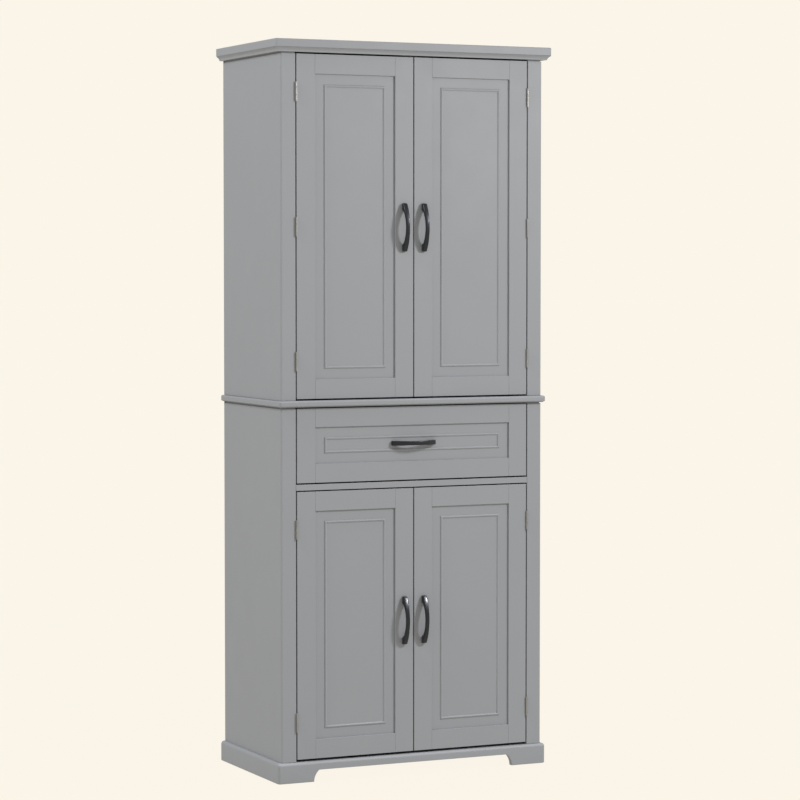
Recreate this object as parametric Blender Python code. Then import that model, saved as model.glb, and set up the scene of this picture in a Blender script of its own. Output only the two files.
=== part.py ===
"""A tall pantry cabinet in two stacked units: two doors above, a drawer and two doors below.

Metres, +Z up. The front faces -Y and +X is on the right hand of somebody facing the cabinet.
The origin is on the floor, at the middle of the object's overall width and depth.
"""

import math

import bmesh
import bpy
from mathutils import Matrix, Vector

MM = 0.001

# Overall and carcass
HEIGHT = 1834 * MM
CARCASS_WIDTH = 722 * MM
CARCASS_DEPTH = 380 * MM

# Material thicknesses and clearances
BOARD = 15 * MM
FACE_BOARD = 18 * MM
BACK_BOARD = 5 * MM
SEAT = 0.3 * MM
REVEAL = 3 * MM

# Heights of the horizontal levels above the floor, as (bottom, top)
PLINTH_TOP = 51 * MM
LOWER_DOOR_Z = (57 * MM, 722 * MM)
DIVIDER_Z = (725 * MM, 740 * MM)
DRAWER_FRONT_Z = (743.5 * MM, 928 * MM)
WAIST_Z = (931 * MM, 947.5 * MM)
UPPER_DOOR_Z = (951.5 * MM, 1799.5 * MM)
COVE_Z = (1803 * MM, 1814 * MM)
LOWER_SHELF_TOP = 395 * MM
UPPER_SHELF_TOPS = {"upper_shelf_high": 1533 * MM, "upper_shelf_low": 1244 * MM}
SHELF_SETBACK = 22 * MM

# Carcass sides: a panel with a stile, and in the lower unit a runner batten, glued on
STILE_WIDTH = 40 * MM
STILE_CORNER_RADIUS = 5 * MM
BATTEN_Z = (748 * MM, 800 * MM)
BATTEN_INSET = 0.2 * MM

# The shadow groove that runs round the carcass under the cove and under the waist board
GROOVE_DEPTH = 3.5 * MM
GROOVE_END_WALL = 3 * MM

# Top and mouldings
TOP_OVERHANG_SIDE = 19 * MM
TOP_OVERHANG_FRONT = 18 * MM
TOP_EDGE_RADIUS = 2.5 * MM
COVE_RECESS = 1 * MM
COVE_LIP = 1.4 * MM
COVE_SPREAD = 7.7 * MM
WAIST_OVERHANG_SIDE = 8 * MM
WAIST_OVERHANG_FRONT = 12 * MM
WAIST_NOSE_RADIUS = 7 * MM
WAIST_UNDER_RADIUS = 2 * MM
WAIST_CORNER_RADIUS = 8 * MM
PLINTH_OVERHANG_SIDE = 11 * MM
PLINTH_OVERHANG_FRONT = 6.5 * MM
PLINTH_BOARD = 15 * MM
PLINTH_EDGE_RADIUS = 8 * MM
PLINTH_CORNER_RADIUS = 8.5 * MM
PLINTH_FOOT_RADIUS = 2 * MM
ARCH_HALF_WIDTH = 276 * MM
ARCH_HEIGHT = 29.5 * MM
ARCH_FOOT_WIDTH = 14 * MM

# Framed doors and drawer front
FRAME_STILE = 49.5 * MM
DOOR_RAIL = 48.5 * MM
DRAWER_RAIL = 47 * MM
PANEL_RECESS = 4.5 * MM
PANEL_THICKNESS = 8 * MM
PANEL_TONGUE = 8 * MM
BEAD_INSET = 25 * MM
BEAD_WIDTH = 7 * MM
BEAD_HEIGHT = 3 * MM

# Butt hinges
HINGE_HEIGHT = 48 * MM
HINGE_LEAF_DEPTH = 16 * MM
HINGE_LEAF = 1 * MM
HINGE_LEAF_OFFSET = 0.75 * MM
HINGE_AXIS_FORWARD = 2.7 * MM
KNUCKLE_RADIUS = 2.4 * MM
PIN_RADIUS = 1.1 * MM
PIN_BORE_RADIUS = 1.5 * MM
HINGE_END_DISTANCE = 93 * MM

# Bow handles
HANDLE_LENGTH = 120.5 * MM
HANDLE_REACH = 27 * MM
HANDLE_WIDTH = 11.6 * MM
HANDLE_THICKNESS = 6.4 * MM
HANDLE_OUTER_SPAN = 146 * MM
HANDLE_INNER_SPAN = 104 * MM
HANDLE_FOOT_LENGTH = 16.5 * MM
HANDLE_FOOT_SLOPE = 2 * MM
HANDLE_EDGE_RADIUS = 2 * MM
DOOR_HANDLE_X = 27 * MM
DRAWER_HANDLE_Z = 836 * MM

# Drawer box and its runners
DRAWER_BOX_HALF_WIDTH = 308 * MM
DRAWER_BOX_Z = (752 * MM, 872 * MM)
DRAWER_BOX_LENGTH = 320 * MM
DRAWER_BOARD = 12 * MM
DRAWER_BOTTOM = 5 * MM
DRAWER_BOTTOM_Z = 764 * MM
DRAWER_GROOVE_DEPTH = 6 * MM
RUNNER_LENGTH = 300 * MM
RUNNER_STEEL = 1.2 * MM
RUNNER_Z = (757 * MM, 790 * MM)
RUNNER_FLANGE = 10.2 * MM
RUNNER_LIP = 6.2 * MM
SLIDER_Z = (761 * MM, 784 * MM)
SLIDER_FLANGE = 9 * MM

# Smoothness of the rounded shapes
ARC_STEPS = 4
SMALL_ARC_STEPS = 2
BEAD_STEPS = 6
KNUCKLE_SIDES = 12
PIN_SIDES = 8
HANDLE_STEPS = 16
SMOOTH_ANGLE = 40
FLAT_ANGLE = 0.5

# The plane of the door faces, with the cabinet's depth centred on the origin
FACE_Y = HANDLE_REACH - (CARCASS_DEPTH + HANDLE_REACH) / 2
BACK_Y = FACE_Y + CARCASS_DEPTH
HALF_WIDTH = CARCASS_WIDTH / 2
PANEL_INNER_X = HALF_WIDTH - BOARD
OPENING_X = HALF_WIDTH - STILE_WIDTH
BACK_BOARD_Y = BACK_Y - SEAT - BACK_BOARD
INNER_BACK_Y = BACK_BOARD_Y - SEAT
DOOR_OUTER_X = OPENING_X - REVEAL
DOOR_INNER_X = REVEAL / 2
HINGE_X = OPENING_X - REVEAL / 2
HINGE_Y = FACE_Y - HINGE_AXIS_FORWARD
DRAWER_BOX_Y = FACE_Y + FACE_BOARD + SEAT

SIDES = {"left": -1, "right": 1}

FINISHES = {
    "painted_board": ((0.33, 0.34, 0.35), 0.45, 0.0),
    "back_board": ((0.42, 0.42, 0.42), 0.6, 0.0),
    "drawer_board": ((0.62, 0.60, 0.56), 0.55, 0.0),
    "black_metal": ((0.02, 0.02, 0.022), 0.35, 0.8),
    "nickel": ((0.48, 0.47, 0.44), 0.35, 1.0),
    "runner_steel": ((0.66, 0.67, 0.68), 0.4, 0.6),
}


def clear_scene():
    for obj in list(bpy.data.objects):
        bpy.data.objects.remove(obj, do_unlink=True)


def new_collection(name):
    collection = bpy.data.collections.new(name)
    bpy.context.scene.collection.children.link(collection)
    return collection


def new_material(name, finish):
    colour, roughness, metallic = FINISHES[finish]
    material = bpy.data.materials.new(name)
    material.use_nodes = True
    shader = material.node_tree.nodes["Principled BSDF"]
    shader.inputs["Base Color"].default_value = (*colour, 1)
    shader.inputs["Roughness"].default_value = roughness
    shader.inputs["Metallic"].default_value = metallic
    material.diffuse_color = (*colour, 1)
    return material


def place(name, mesh, finish, location=(0, 0, 0), pivot=None, rotation=(0, 0, 0)):
    """Put a mesh in the cabinet as a named sub-part, at a place given in the cabinet's frame."""
    obj = bpy.data.objects.new(name, mesh)
    parts.objects.link(obj)
    obj.location = location
    obj.rotation_euler = rotation
    if pivot:
        obj.parent = pivot
        obj.location = Vector(location) - pivot.location
    if not mesh.materials:
        mesh.materials.append(None)
    obj.material_slots[0].link = "OBJECT"
    obj.material_slots[0].material = new_material(name, finish)
    return obj


def new_pivot(name, location):
    """An empty on a joint's axis, which carries the pieces that move with the joint."""
    pivot = bpy.data.objects.new(name, None)
    parts.objects.link(pivot)
    pivot.location = location
    return pivot


def cuboid(low, high):
    """A rectangular block between two corners, as a bmesh."""
    low, high = Vector(low), Vector(high)
    bm = bmesh.new()
    bmesh.ops.create_cube(bm, size=1)
    bmesh.ops.scale(bm, vec=high - low, verts=bm.verts)
    bmesh.ops.translate(bm, vec=(low + high) / 2, verts=bm.verts)
    return bm


def cylinder(radius, bottom, top, sides=KNUCKLE_SIDES):
    """An upright cylinder about the Z axis, as a bmesh."""
    middle = Matrix.Translation((0, 0, (bottom + top) / 2))
    bm = bmesh.new()
    bmesh.ops.create_cone(bm, cap_ends=True, segments=sides, radius1=radius, radius2=radius,
                          depth=top - bottom, matrix=middle)
    return bm


def mesh_of(name, bm):
    mesh = bpy.data.meshes.new(name)
    bm.to_mesh(mesh)
    bm.free()
    return mesh


def evaluated_bmesh(obj):
    """The finished shape of an object, modifiers and curve settings included, as a bmesh."""
    depsgraph = bpy.context.evaluated_depsgraph_get()
    mesh = bpy.data.meshes.new_from_object(obj.evaluated_get(depsgraph))
    bm = bmesh.new()
    bm.from_mesh(mesh)
    bpy.data.meshes.remove(mesh)
    return bm


def new_tool(name, bm):
    """A body that cuts another or is joined to it, kept out of the cabinet."""
    tool = bpy.data.objects.new(name, mesh_of(name, bm))
    tools.objects.link(tool)
    tool.hide_render = True
    tool.display_type = "WIRE"
    return tool


def combine(name, base, joins=(), cuts=()):
    """One mesh: the base with some bodies joined on and others cut away."""
    body = new_tool(name, base)
    used = [body]
    for operation, bodies in (("UNION", joins), ("DIFFERENCE", cuts)):
        for bm in bodies:
            tool = new_tool(name + "_tool", bm)
            used.append(tool)
            boolean = body.modifiers.new(operation.title(), "BOOLEAN")
            boolean.operation = operation
            boolean.solver = "EXACT"
            boolean.object = tool
    mesh = mesh_of(name, evaluated_bmesh(body))
    for tool in used:
        bpy.data.objects.remove(tool, do_unlink=True)
    return mesh


def round_edges(bm, chosen, radius, steps):
    """Round the edges whose middle point passes the test."""
    edges = [edge for edge in bm.edges if chosen((edge.verts[0].co + edge.verts[1].co) / 2)]
    bmesh.ops.bevel(bm, geom=edges, offset=radius, segments=steps, profile=0.5, affect="EDGES",
                    clamp_overlap=True)


def arc(centre, radii, start, end, steps=ARC_STEPS):
    """Points along an elliptical arc, with its angles in degrees."""
    angles = [math.radians(start + (end - start) * i / steps) for i in range(steps + 1)]
    return [(centre[0] + radii[0] * math.cos(a), centre[1] + radii[1] * math.sin(a)) for a in angles]


def extruded(points, bottom, top, matrix=Matrix()):
    """A closed flat outline in XY, carried up from one height to another, then turned."""
    curve = bpy.data.curves.new("outline", "CURVE")
    curve.dimensions = "2D"
    curve.fill_mode = "BOTH"
    curve.extrude = (top - bottom) / 2
    spline = curve.splines.new("POLY")
    spline.points.add(len(points) - 1)
    for target, point in zip(spline.points, points):
        target.co = (*point, 0, 1)
    spline.use_cyclic_u = True
    outline = bpy.data.objects.new("outline", curve)
    tools.objects.link(outline)
    bm = evaluated_bmesh(outline)
    bpy.data.objects.remove(outline, do_unlink=True)
    bmesh.ops.remove_doubles(bm, verts=bm.verts, dist=0.01 * MM)
    bmesh.ops.translate(bm, vec=(0, 0, (bottom + top) / 2), verts=bm.verts)
    bmesh.ops.transform(bm, matrix=matrix, verts=bm.verts)
    bmesh.ops.recalc_face_normals(bm, faces=bm.faces)
    return bm


# Turns an outline drawn as (x, z) and carried along Z into one carried along -Y
ALONG_DEPTH = Matrix.Rotation(math.radians(90), 4, "X")
# Turns an outline drawn as (y, z) and carried along Z into one carried along X
ALONG_WIDTH = Matrix.Rotation(math.radians(90), 4, "Z") @ ALONG_DEPTH


def make_board(name, half_width, y_range, z_range, finish="painted_board"):
    """A plain board across the cabinet."""
    low = (-half_width, y_range[0], z_range[0])
    high = (half_width, y_range[1], z_range[1])
    return place(name, mesh_of(name, cuboid(low, high)), finish)


def make_side(name, side, z_range, joins=(), cuts=()):
    """A side panel with its front stile, whose outer corner is rounded."""
    corner = (HALF_WIDTH - STILE_CORNER_RADIUS, FACE_Y + STILE_CORNER_RADIUS)
    rounding = (STILE_CORNER_RADIUS, STILE_CORNER_RADIUS)
    outline = [
        (HALF_WIDTH, BACK_Y),
        (PANEL_INNER_X, BACK_Y),
        (PANEL_INNER_X, FACE_Y + FACE_BOARD),
        (OPENING_X, FACE_Y + FACE_BOARD),
        (OPENING_X, FACE_Y),
        *arc(corner, rounding, -90, 0),
    ]
    outline = [(side * x, y) for x, y in outline]
    body = extruded(outline, *z_range)
    place(name, combine(name, body, joins, cuts), "painted_board")


def side_cuboid(side, x_range, y_range, z_range):
    """A block on one side of the cabinet, with its x range counted outwards from the middle."""
    low_x, high_x = sorted((side * x_range[0], side * x_range[1]))
    return cuboid((low_x, y_range[0], z_range[0]), (high_x, y_range[1], z_range[1]))


def shadow_groove(side, z_range):
    """The two blocks cut from a side to leave a dark line on its outer face and its stile."""
    outside = HALF_WIDTH + BOARD
    before = FACE_Y - BOARD
    side_y = (before, BACK_Y - GROOVE_END_WALL)
    along_side = side_cuboid(side, (HALF_WIDTH - GROOVE_DEPTH, outside), side_y, z_range)
    along_front = side_cuboid(side, (OPENING_X - BOARD, outside), (before, FACE_Y + GROOVE_DEPTH), z_range)
    return [along_side, along_front]


def make_sides():
    upper_z = (WAIST_Z[1] + SEAT, COVE_Z[1] - SEAT)
    upper_groove_z = (UPPER_DOOR_Z[1], COVE_Z[0])
    lower_z = (0, WAIST_Z[0] - SEAT)
    lower_groove_z = (DRAWER_FRONT_Z[1], WAIST_Z[0])
    plinth_back = FACE_Y - PLINTH_OVERHANG_FRONT + PLINTH_BOARD + SEAT
    batten_x = (OPENING_X + BATTEN_INSET, PANEL_INNER_X + BOARD / 2)
    batten_y = (FACE_Y + FACE_BOARD / 2, INNER_BACK_Y - REVEAL)
    notch_x = (OPENING_X - BOARD, HALF_WIDTH + BOARD)
    notch_y = (FACE_Y - BOARD, plinth_back)
    for word, side in SIDES.items():
        make_side(f"upper_side_{word}", side, upper_z, cuts=shadow_groove(side, upper_groove_z))
        batten = side_cuboid(side, batten_x, batten_y, BATTEN_Z)
        notch = side_cuboid(side, notch_x, notch_y, (-BOARD, PLINTH_TOP + SEAT))
        make_side(f"lower_side_{word}", side, lower_z, joins=[batten],
                  cuts=[notch, *shadow_groove(side, lower_groove_z)])


def make_top_panel():
    half = HALF_WIDTH + TOP_OVERHANG_SIDE
    front = FACE_Y - TOP_OVERHANG_FRONT
    bm = cuboid((-half, front, COVE_Z[1]), (half, BACK_Y, HEIGHT))
    round_edges(bm, lambda p: p.y < BACK_Y - BOARD, TOP_EDGE_RADIUS, SMALL_ARC_STEPS)
    place("top_panel", mesh_of("top_panel", bm), "painted_board")


def make_crown_moulding():
    """A cove under the overhanging top, mitred round the front and both sides."""
    half = HALF_WIDTH + TOP_OVERHANG_SIDE - COVE_RECESS
    front = FACE_Y - TOP_OVERHANG_FRONT + COVE_RECESS
    top = COVE_Z[1] - SEAT
    rise = top - COVE_Z[0] - COVE_LIP
    bm = cuboid((-half, front, top - COVE_LIP), (half, BACK_Y + BOARD * 2, top))
    bm.faces.ensure_lookup_table()
    underside = min(bm.faces, key=lambda face: face.calc_center_median().z)
    curve = arc((0, 0), (COVE_SPREAD, rise), 90, 180)
    for (x_before, z_before), (x_after, z_after) in zip(curve, curve[1:]):
        bmesh.ops.inset_region(bm, faces=[underside], thickness=x_before - x_after,
                               depth=z_before - z_after, use_even_offset=True)
    carcass = cuboid((-HALF_WIDTH - SEAT, FACE_Y - SEAT, COVE_Z[0] - BOARD),
                     (HALF_WIDTH + SEAT, BACK_Y + BOARD * 3, HEIGHT))
    behind = cuboid((-CARCASS_WIDTH, BACK_Y, COVE_Z[0] - BOARD),
                    (CARCASS_WIDTH, BACK_Y + BOARD * 4, HEIGHT))
    place("crown_moulding", combine("crown_moulding", bm, cuts=[carcass, behind]), "painted_board")


def is_corner(point, front, z_range):
    """Whether an edge's middle point is that of an upright edge at the front of a board."""
    return point.y < front + SEAT and z_range[0] + SEAT < point.z < z_range[1] - SEAT


def make_waist_board():
    half = HALF_WIDTH + WAIST_OVERHANG_SIDE
    front = FACE_Y - WAIST_OVERHANG_FRONT
    bm = cuboid((-half, front, WAIST_Z[0]), (half, BACK_Y, WAIST_Z[1]))
    round_edges(bm, lambda p: is_corner(p, front, WAIST_Z), WAIST_CORNER_RADIUS, ARC_STEPS)
    outside_back = BACK_Y - SEAT
    top, under = WAIST_Z[1] - SEAT, WAIST_Z[0] + SEAT
    round_edges(bm, lambda p: p.y < outside_back and p.z > top, WAIST_NOSE_RADIUS, ARC_STEPS)
    round_edges(bm, lambda p: p.y < outside_back and p.z < under, WAIST_UNDER_RADIUS, SMALL_ARC_STEPS)
    place("waist_board", mesh_of("waist_board", bm), "painted_board")


def make_plinth():
    half = HALF_WIDTH + PLINTH_OVERHANG_SIDE
    front = FACE_Y - PLINTH_OVERHANG_FRONT
    back = front + PLINTH_BOARD
    bm = cuboid((-half, front, 0), (half, back, PLINTH_TOP))
    round_edges(bm, lambda p: is_corner(p, front, (0, PLINTH_TOP)), PLINTH_CORNER_RADIUS, ARC_STEPS)
    top, under = PLINTH_TOP - SEAT, SEAT
    round_edges(bm, lambda p: p.z > top and p.y < back - SEAT, PLINTH_EDGE_RADIUS, ARC_STEPS)
    round_edges(bm, lambda p: p.z < under and p.y < back - SEAT, PLINTH_FOOT_RADIUS, SMALL_ARC_STEPS)
    sweep = 2 * math.atan(ARCH_FOOT_WIDTH / ARCH_HEIGHT)
    radius = ARCH_HEIGHT / math.sin(sweep)
    foot = arc((ARCH_HALF_WIDTH - radius, 0), (radius, radius), 0, math.degrees(sweep))
    arch = [(ARCH_HALF_WIDTH, -BOARD), *foot]
    arch += [(-x, z) for x, z in reversed(arch)]
    opening = extruded(arch, -back - BOARD, -front + BOARD, ALONG_DEPTH)
    place("plinth_front", combine("plinth_front", bm, cuts=[opening]), "painted_board")
    for word, side in SIDES.items():
        x_range = (HALF_WIDTH + SEAT, half)
        board = side_cuboid(side, x_range, (back + SEAT, BACK_Y), (0, PLINTH_TOP))
        outer = half - SEAT
        round_edges(board, lambda p: p.z > top and abs(p.x) > outer, PLINTH_EDGE_RADIUS, ARC_STEPS)
        round_edges(board, lambda p: p.z < under and abs(p.x) > outer, PLINTH_FOOT_RADIUS, SMALL_ARC_STEPS)
        place(f"plinth_{word}", mesh_of(f"plinth_{word}", board), "painted_board")


def make_fronted_board(name, front_y, back_y, z_range):
    """A board between the side panels whose front edge reaches forward between the stiles."""
    inner = PANEL_INNER_X - SEAT
    front = cuboid((-OPENING_X + SEAT, front_y, z_range[0]),
                   (OPENING_X - SEAT, FACE_Y + FACE_BOARD * 2, z_range[1]))
    body = cuboid((-inner, FACE_Y + FACE_BOARD + SEAT, z_range[0]), (inner, back_y, z_range[1]))
    place(name, combine(name, front, joins=[body]), "painted_board")


def make_inner_boards():
    inner = PANEL_INNER_X - SEAT
    plinth_back = FACE_Y - PLINTH_OVERHANG_FRONT + PLINTH_BOARD + SEAT
    floor_z = (PLINTH_TOP - BOARD, PLINTH_TOP)
    make_fronted_board("bottom_board", plinth_back, INNER_BACK_Y, floor_z)
    make_fronted_board("drawer_divider", FACE_Y, INNER_BACK_Y, DIVIDER_Z)
    shelf_y = (FACE_Y + SHELF_SETBACK, INNER_BACK_Y - REVEAL)
    make_board("lower_shelf", inner, shelf_y, (LOWER_SHELF_TOP - BOARD, LOWER_SHELF_TOP))
    for name, top in UPPER_SHELF_TOPS.items():
        make_board(name, inner, shelf_y, (top - BOARD, top))
    back_y = (BACK_BOARD_Y, BACK_BOARD_Y + BACK_BOARD)
    make_board("lower_back_panel", inner, back_y, (floor_z[0], WAIST_Z[0] - SEAT), "back_board")
    make_board("upper_back_panel", inner, back_y, (WAIST_Z[1] + SEAT, COVE_Z[1] - SEAT), "back_board")


def frame_mesh(name, width, height, rail):
    """A glued frame of two stiles and two rails, grooved inside for its panel."""
    half_x, half_z = width / 2, height / 2
    window_x, window_z = half_x - FRAME_STILE, half_z - rail
    groove_x, groove_z = window_x + PANEL_TONGUE, window_z + PANEL_TONGUE
    slab = cuboid((-half_x, 0, -half_z), (half_x, FACE_BOARD, half_z))
    window = cuboid((-window_x, -BOARD, -window_z), (window_x, FACE_BOARD + BOARD, window_z))
    groove = cuboid((-groove_x, PANEL_RECESS - SEAT, -groove_z),
                    (groove_x, PANEL_RECESS + PANEL_THICKNESS + SEAT, groove_z))
    return combine(name, slab, cuts=[window, groove])


def panel_mesh(name, width, height, rail):
    """The panel held in a frame's groove, with a rounded bead standing round its field."""
    half_x = width / 2 - FRAME_STILE + PANEL_TONGUE - SEAT
    half_z = height / 2 - rail + PANEL_TONGUE - SEAT
    bm = cuboid((-half_x, PANEL_RECESS, -half_z), (half_x, PANEL_RECESS + PANEL_THICKNESS, half_z))
    bm.faces.ensure_lookup_table()
    field = min(bm.faces, key=lambda face: face.calc_center_median().y)
    bmesh.ops.inset_region(bm, faces=[field], thickness=PANEL_TONGUE - SEAT + BEAD_INSET)
    bead = arc((0, 0), (BEAD_WIDTH / 2, BEAD_HEIGHT), 180, 0, BEAD_STEPS)
    for (x_before, z_before), (x_after, z_after) in zip(bead, bead[1:]):
        bmesh.ops.inset_region(bm, faces=[field], thickness=x_after - x_before,
                               depth=z_after - z_before, use_even_offset=True)
    return mesh_of(name, bm)


def hinge_tab(side, z_range):
    """The part of a leaf that runs from its plate into the knuckle, with y measured from the pin."""
    x_range = (HINGE_LEAF_OFFSET - HINGE_LEAF / 2, HINGE_LEAF_OFFSET + HINGE_LEAF / 2)
    return side_cuboid(side, x_range, (-PIN_RADIUS, HINGE_AXIS_FORWARD + REVEAL), z_range)


def hinge_plate(side):
    x_range = (HINGE_LEAF_OFFSET - HINGE_LEAF / 2, HINGE_LEAF_OFFSET + HINGE_LEAF / 2)
    start = HINGE_AXIS_FORWARD + SEAT * 2
    y_range = (start, HINGE_AXIS_FORWARD + HINGE_LEAF_DEPTH)
    return side_cuboid(side, x_range, y_range, (-HINGE_HEIGHT / 2, HINGE_HEIGHT / 2))


def hinge_meshes():
    """The two leaves of a right-hand hinge, centred on the pin: the frame's and the door's."""
    half = HINGE_HEIGHT / 2
    knuckle = HINGE_HEIGHT / 6
    frame_joins = [cylinder(PIN_RADIUS, -half + REVEAL, half - REVEAL, PIN_SIDES)]
    for low, high in ((-half, -knuckle), (knuckle, half)):
        frame_joins.append(hinge_tab(1, (low, high)))
        frame_joins.append(cylinder(KNUCKLE_RADIUS, low, high))
    frame_leaf = combine("hinge_frame_leaf", hinge_plate(1), joins=frame_joins)
    middle = (-knuckle + SEAT, knuckle - SEAT)
    bore = cylinder(PIN_BORE_RADIUS, -half, half)
    door_joins = [hinge_tab(-1, middle), cylinder(KNUCKLE_RADIUS, *middle)]
    door_leaf = combine("hinge_door_leaf", hinge_plate(-1), joins=door_joins, cuts=[bore])
    return frame_leaf, door_leaf


def bow(reach, span, half_length):
    """Points (-depth, height) along a bow that would meet the plane y = 0 at the ends of its span."""
    heights = [half_length * (2 * i / HANDLE_STEPS - 1) for i in range(HANDLE_STEPS + 1)]
    return [(-reach * (1 - (2 * z / span) ** 2), z) for z in heights]


def handle_mesh():
    """An upright bow handle: a bar that thins to its middle, on two feet that stop just before y = 0."""
    end = HANDLE_LENGTH / 2
    foot = end - HANDLE_FOOT_LENGTH
    outer = bow(HANDLE_REACH, HANDLE_OUTER_SPAN, end)
    inner = bow(HANDLE_REACH - HANDLE_THICKNESS, HANDLE_INNER_SPAN, foot - HANDLE_FOOT_SLOPE)
    upper_foot = [(-SEAT, end), (-SEAT, foot)]
    lower_foot = [(-SEAT, -foot), (-SEAT, -end)]
    half_width = HANDLE_WIDTH / 2
    bm = extruded([*outer, *upper_foot, *reversed(inner), *lower_foot], -half_width, half_width, ALONG_WIDTH)
    bmesh.ops.dissolve_limit(bm, angle_limit=math.radians(FLAT_ANGLE), verts=bm.verts, edges=bm.edges)
    round_edges(bm, lambda point: abs(point.x) > half_width - SEAT, HANDLE_EDGE_RADIUS, SMALL_ARC_STEPS)
    mesh = mesh_of("handle", bm)
    mesh.shade_smooth()
    mesh.set_sharp_from_angle(angle=math.radians(SMOOTH_ANGLE))
    return mesh


def make_doors(unit, z_range, hinge_heights, handle, leaves):
    """A pair of doors hung on the carcass stiles, one pivot empty for each door."""
    width = DOOR_OUTER_X - DOOR_INNER_X
    height = z_range[1] - z_range[0]
    middle_x = (DOOR_OUTER_X + DOOR_INNER_X) / 2
    middle_z = sum(z_range) / 2
    frame = frame_mesh(f"{unit}_door_frame", width, height, DOOR_RAIL)
    panel = panel_mesh(f"{unit}_door_panel", width, height, DOOR_RAIL)
    for word, side in SIDES.items():
        door = f"{unit}_door_{word}"
        pivot = new_pivot(f"{door}_pivot", (side * HINGE_X, HINGE_Y, middle_z))
        centre = (side * middle_x, FACE_Y, middle_z)
        place(f"{door}_frame", frame, "painted_board", centre, pivot)
        place(f"{door}_panel", panel, "painted_board", centre, pivot)
        stand = (side * DOOR_HANDLE_X, FACE_Y, middle_z)
        place(f"{door}_handle", handle, "black_metal", stand, pivot)
        turn = (0, 0 if side > 0 else math.pi, 0)
        for level, height_on_door in hinge_heights.items():
            pin = (side * HINGE_X, HINGE_Y, height_on_door)
            hinge = f"hinge_{unit}_{word}_{level}"
            place(f"{hinge}_frame_leaf", leaves[0], "nickel", pin, rotation=turn)
            place(f"{hinge}_door_leaf", leaves[1], "nickel", pin, pivot, turn)


def make_drawer(handle):
    """The drawer: a framed front on a box of four thin boards, with a slider on each side."""
    pivot = new_pivot("drawer_pivot", (0, FACE_Y, sum(DRAWER_FRONT_Z) / 2))
    width = DOOR_OUTER_X * 2
    height = DRAWER_FRONT_Z[1] - DRAWER_FRONT_Z[0]
    front_centre = (0, FACE_Y, sum(DRAWER_FRONT_Z) / 2)
    frame = frame_mesh("drawer_front_frame", width, height, DRAWER_RAIL)
    place("drawer_front_frame", frame, "painted_board", front_centre, pivot)
    panel = panel_mesh("drawer_front_panel", width, height, DRAWER_RAIL)
    place("drawer_front_panel", panel, "painted_board", front_centre, pivot)
    panel_face = FACE_Y + PANEL_RECESS
    place("drawer_handle", handle, "black_metal", (0, panel_face, DRAWER_HANDLE_Z), pivot,
          (0, math.radians(90), 0))
    back_y = DRAWER_BOX_Y + DRAWER_BOX_LENGTH
    inner_x = DRAWER_BOX_HALF_WIDTH - DRAWER_BOARD
    groove_x = inner_x + DRAWER_GROOVE_DEPTH
    bottom_z = (DRAWER_BOTTOM_Z, DRAWER_BOTTOM_Z + DRAWER_BOTTOM)
    groove_z = (bottom_z[0] - SEAT, bottom_z[1] + SEAT)
    for word, side in SIDES.items():
        board = side_cuboid(side, (inner_x, DRAWER_BOX_HALF_WIDTH), (DRAWER_BOX_Y, back_y), DRAWER_BOX_Z)
        groove = side_cuboid(side, (0, groove_x), (DRAWER_BOX_Y - BOARD, back_y + BOARD), groove_z)
        name = f"drawer_side_{word}"
        place_moving(name, combine(name, board, cuts=[groove]), "drawer_board", pivot)
    back = cuboid((-inner_x + SEAT, back_y - DRAWER_BOARD, bottom_z[1] + SEAT),
                  (inner_x - SEAT, back_y, DRAWER_BOX_Z[1]))
    place_moving("drawer_back", mesh_of("drawer_back", back), "drawer_board", pivot)
    bottom = cuboid((-groove_x + SEAT, DRAWER_BOX_Y, bottom_z[0]),
                    (groove_x - SEAT, back_y, bottom_z[1]))
    place_moving("drawer_bottom", mesh_of("drawer_bottom", bottom), "drawer_board", pivot)
    return pivot


def place_moving(name, mesh, finish, pivot):
    """Put a mesh that is drawn in the cabinet's frame on a pivot."""
    mesh.transform(Matrix.Translation(-pivot.location))
    return place(name, mesh, finish, pivot.location, pivot)


def make_runners(drawer_pivot):
    """Steel runners on the battens, and the sliders that the drawer rides on them with."""
    start, end = DRAWER_BOX_Y + SEAT, DRAWER_BOX_Y + RUNNER_LENGTH
    web = OPENING_X - SEAT
    low, high = RUNNER_Z
    channel = [
        (web, low), (web, high), (web - RUNNER_LIP, high), (web - RUNNER_LIP, high - RUNNER_STEEL),
        (web - RUNNER_STEEL, high - RUNNER_STEEL), (web - RUNNER_STEEL, low + RUNNER_STEEL),
        (web - RUNNER_FLANGE, low + RUNNER_STEEL), (web - RUNNER_FLANGE, low),
    ]
    inner = DRAWER_BOX_HALF_WIDTH + SEAT
    low, high = SLIDER_Z
    slider = [
        (inner, low), (inner + RUNNER_STEEL, low), (inner + RUNNER_STEEL, high - RUNNER_STEEL),
        (inner + SLIDER_FLANGE, high - RUNNER_STEEL), (inner + SLIDER_FLANGE, high), (inner, high),
    ]
    for word, side in SIDES.items():
        fixed = [(side * x, z) for x, z in channel]
        name = f"runner_cabinet_{word}"
        place(name, mesh_of(name, extruded(fixed, -end, -start, ALONG_DEPTH)), "runner_steel")
        moving = [(side * x, z) for x, z in slider]
        name = f"runner_drawer_{word}"
        mesh = mesh_of(name, extruded(moving, -end, -start, ALONG_DEPTH))
        place_moving(name, mesh, "runner_steel", drawer_pivot)


def hinge_levels(z_range, names):
    """Heights of a door's hinges, evenly spread between the two near its ends."""
    low, high = z_range[0] + HINGE_END_DISTANCE, z_range[1] - HINGE_END_DISTANCE
    return {name: high + (low - high) * i / (len(names) - 1) for i, name in enumerate(names)}


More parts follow.
